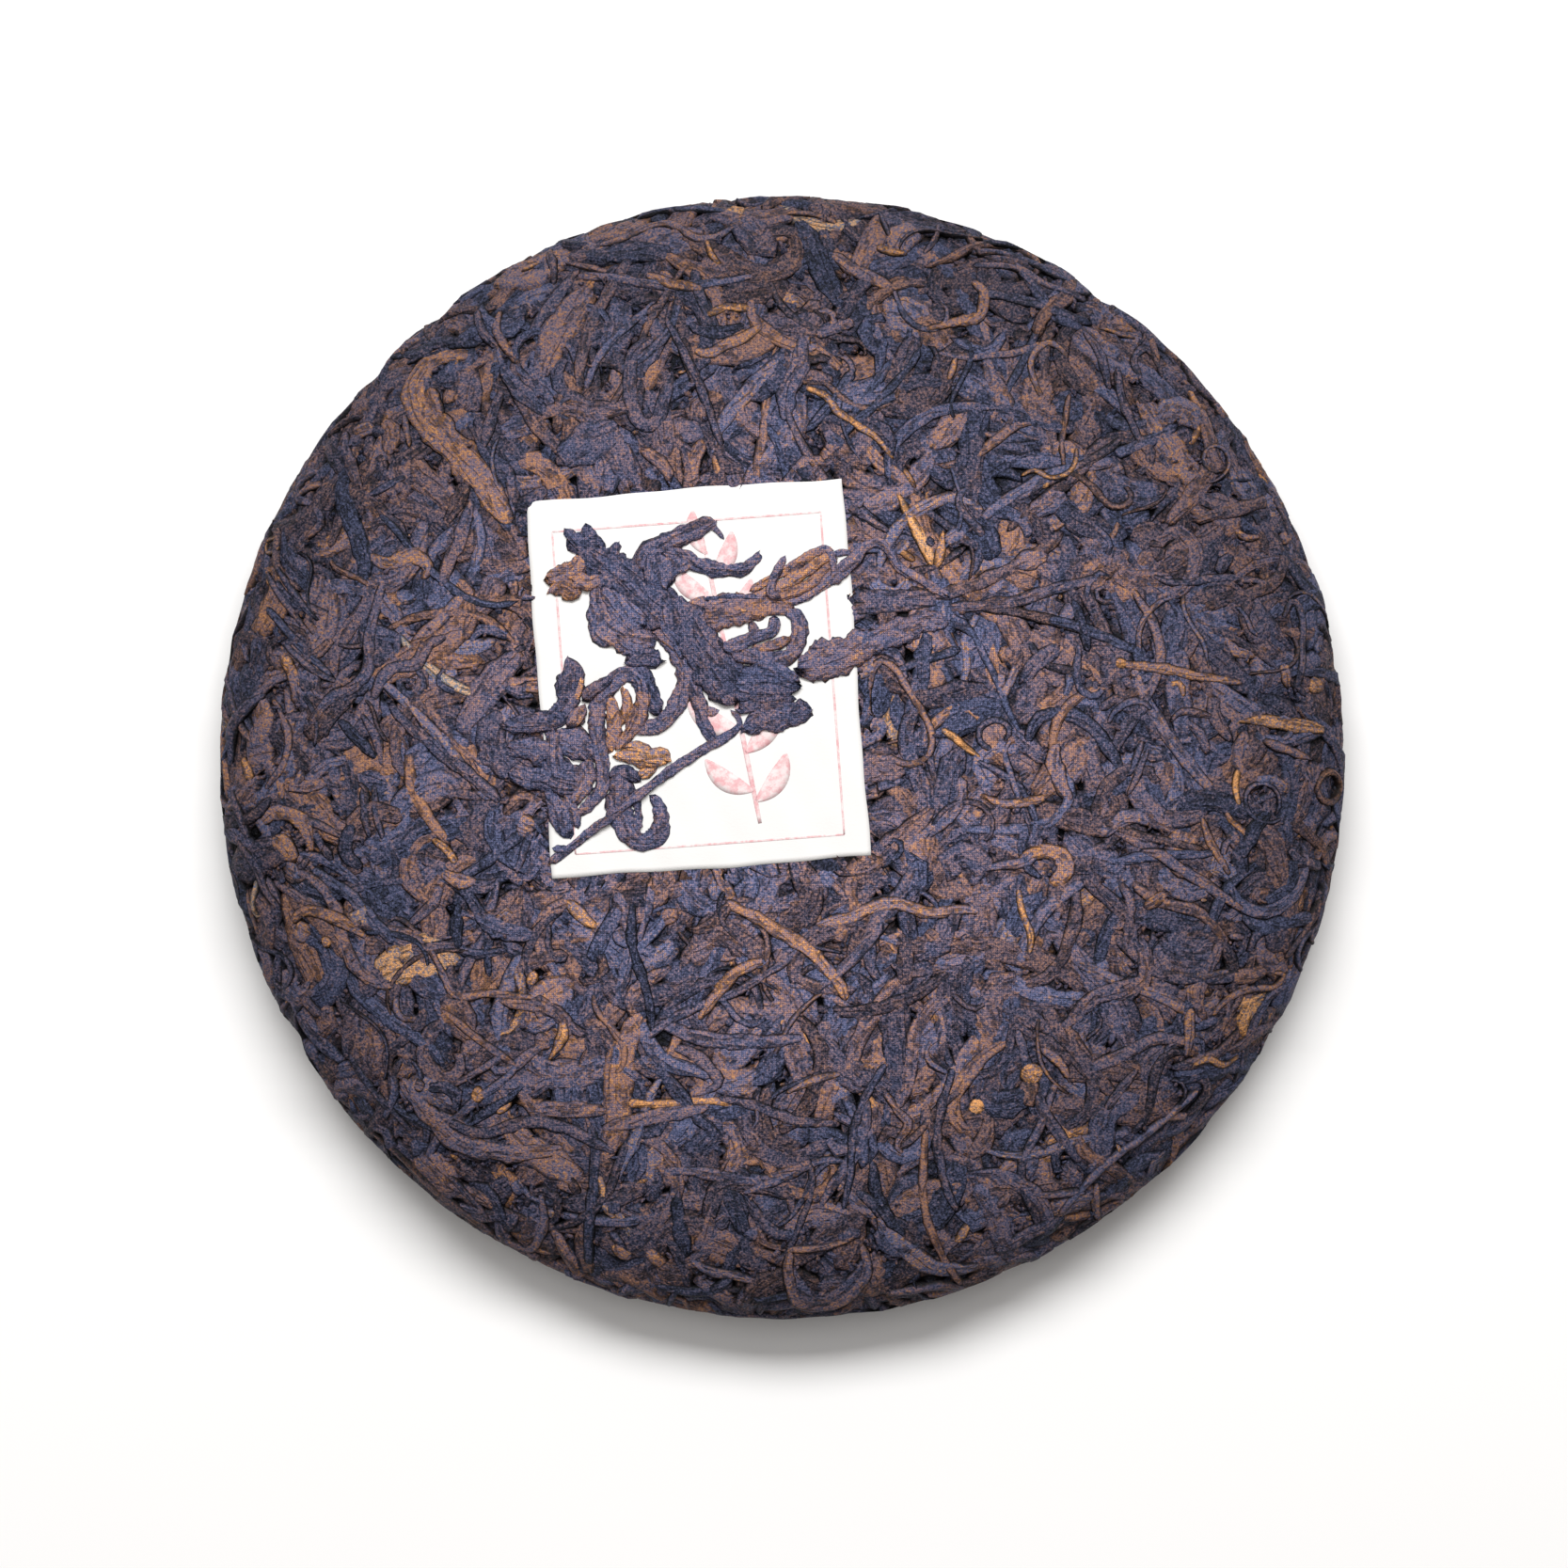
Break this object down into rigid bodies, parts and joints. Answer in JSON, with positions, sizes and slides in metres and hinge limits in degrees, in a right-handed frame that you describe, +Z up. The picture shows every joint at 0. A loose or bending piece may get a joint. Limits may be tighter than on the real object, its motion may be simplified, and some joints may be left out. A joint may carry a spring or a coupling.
{
  "type": "pu erh tea cake",
  "caption": "Round pressed cake of dark fermented tea leaves with a small paper ticket set in its face under a few loose leaves.",
  "frame": {"origin": "middle of the plane that the cake rests on, at the middle of its outline", "axes": "+Z up through the ticket face, +Y towards the ticket's upper edge as it is read, +X to the right"},
  "size_m": [0.1998, 0.1994, 0.0254],
  "materials": {
    "pressed_leaf": "dry pressed leaf, dark violet brown with amber streaks",
    "loose_leaf": "dry dark leaf, matt, lighter ridges",
    "golden_leaf": "dry golden brown bud and leaf",
    "ticket_paper": "thin matt white paper"
  },
  "bodies": {
    "root": {"tea_cake": "pressed_leaf", "paper_ticket": "ticket_paper", "leaf_twisted": "loose_leaf", "leaf_band": "loose_leaf", "leaf_fan": "loose_leaf", "leaf_curled": "golden_leaf", "leaf_folded": "loose_leaf", "leaf_forked": "loose_leaf", "leaf_veined": "loose_leaf", "leaf_bundle": "golden_leaf", "stem_hook": "loose_leaf", "leaf_ring": "loose_leaf", "leaf_blunt": "loose_leaf", "stem_long": "loose_leaf", "leaf_hook": "loose_leaf", "bud_gold": "golden_leaf", "leaf_arch": "loose_leaf", "blade_gold": "golden_leaf", "leaf_corner": "loose_leaf", "leaf_slip": "loose_leaf", "leaf_crumpled": "loose_leaf", "leaf_streaked": "loose_leaf", "leaf_strip": "loose_leaf", "leaf_short": "loose_leaf"}
  },
  "joints": []
}
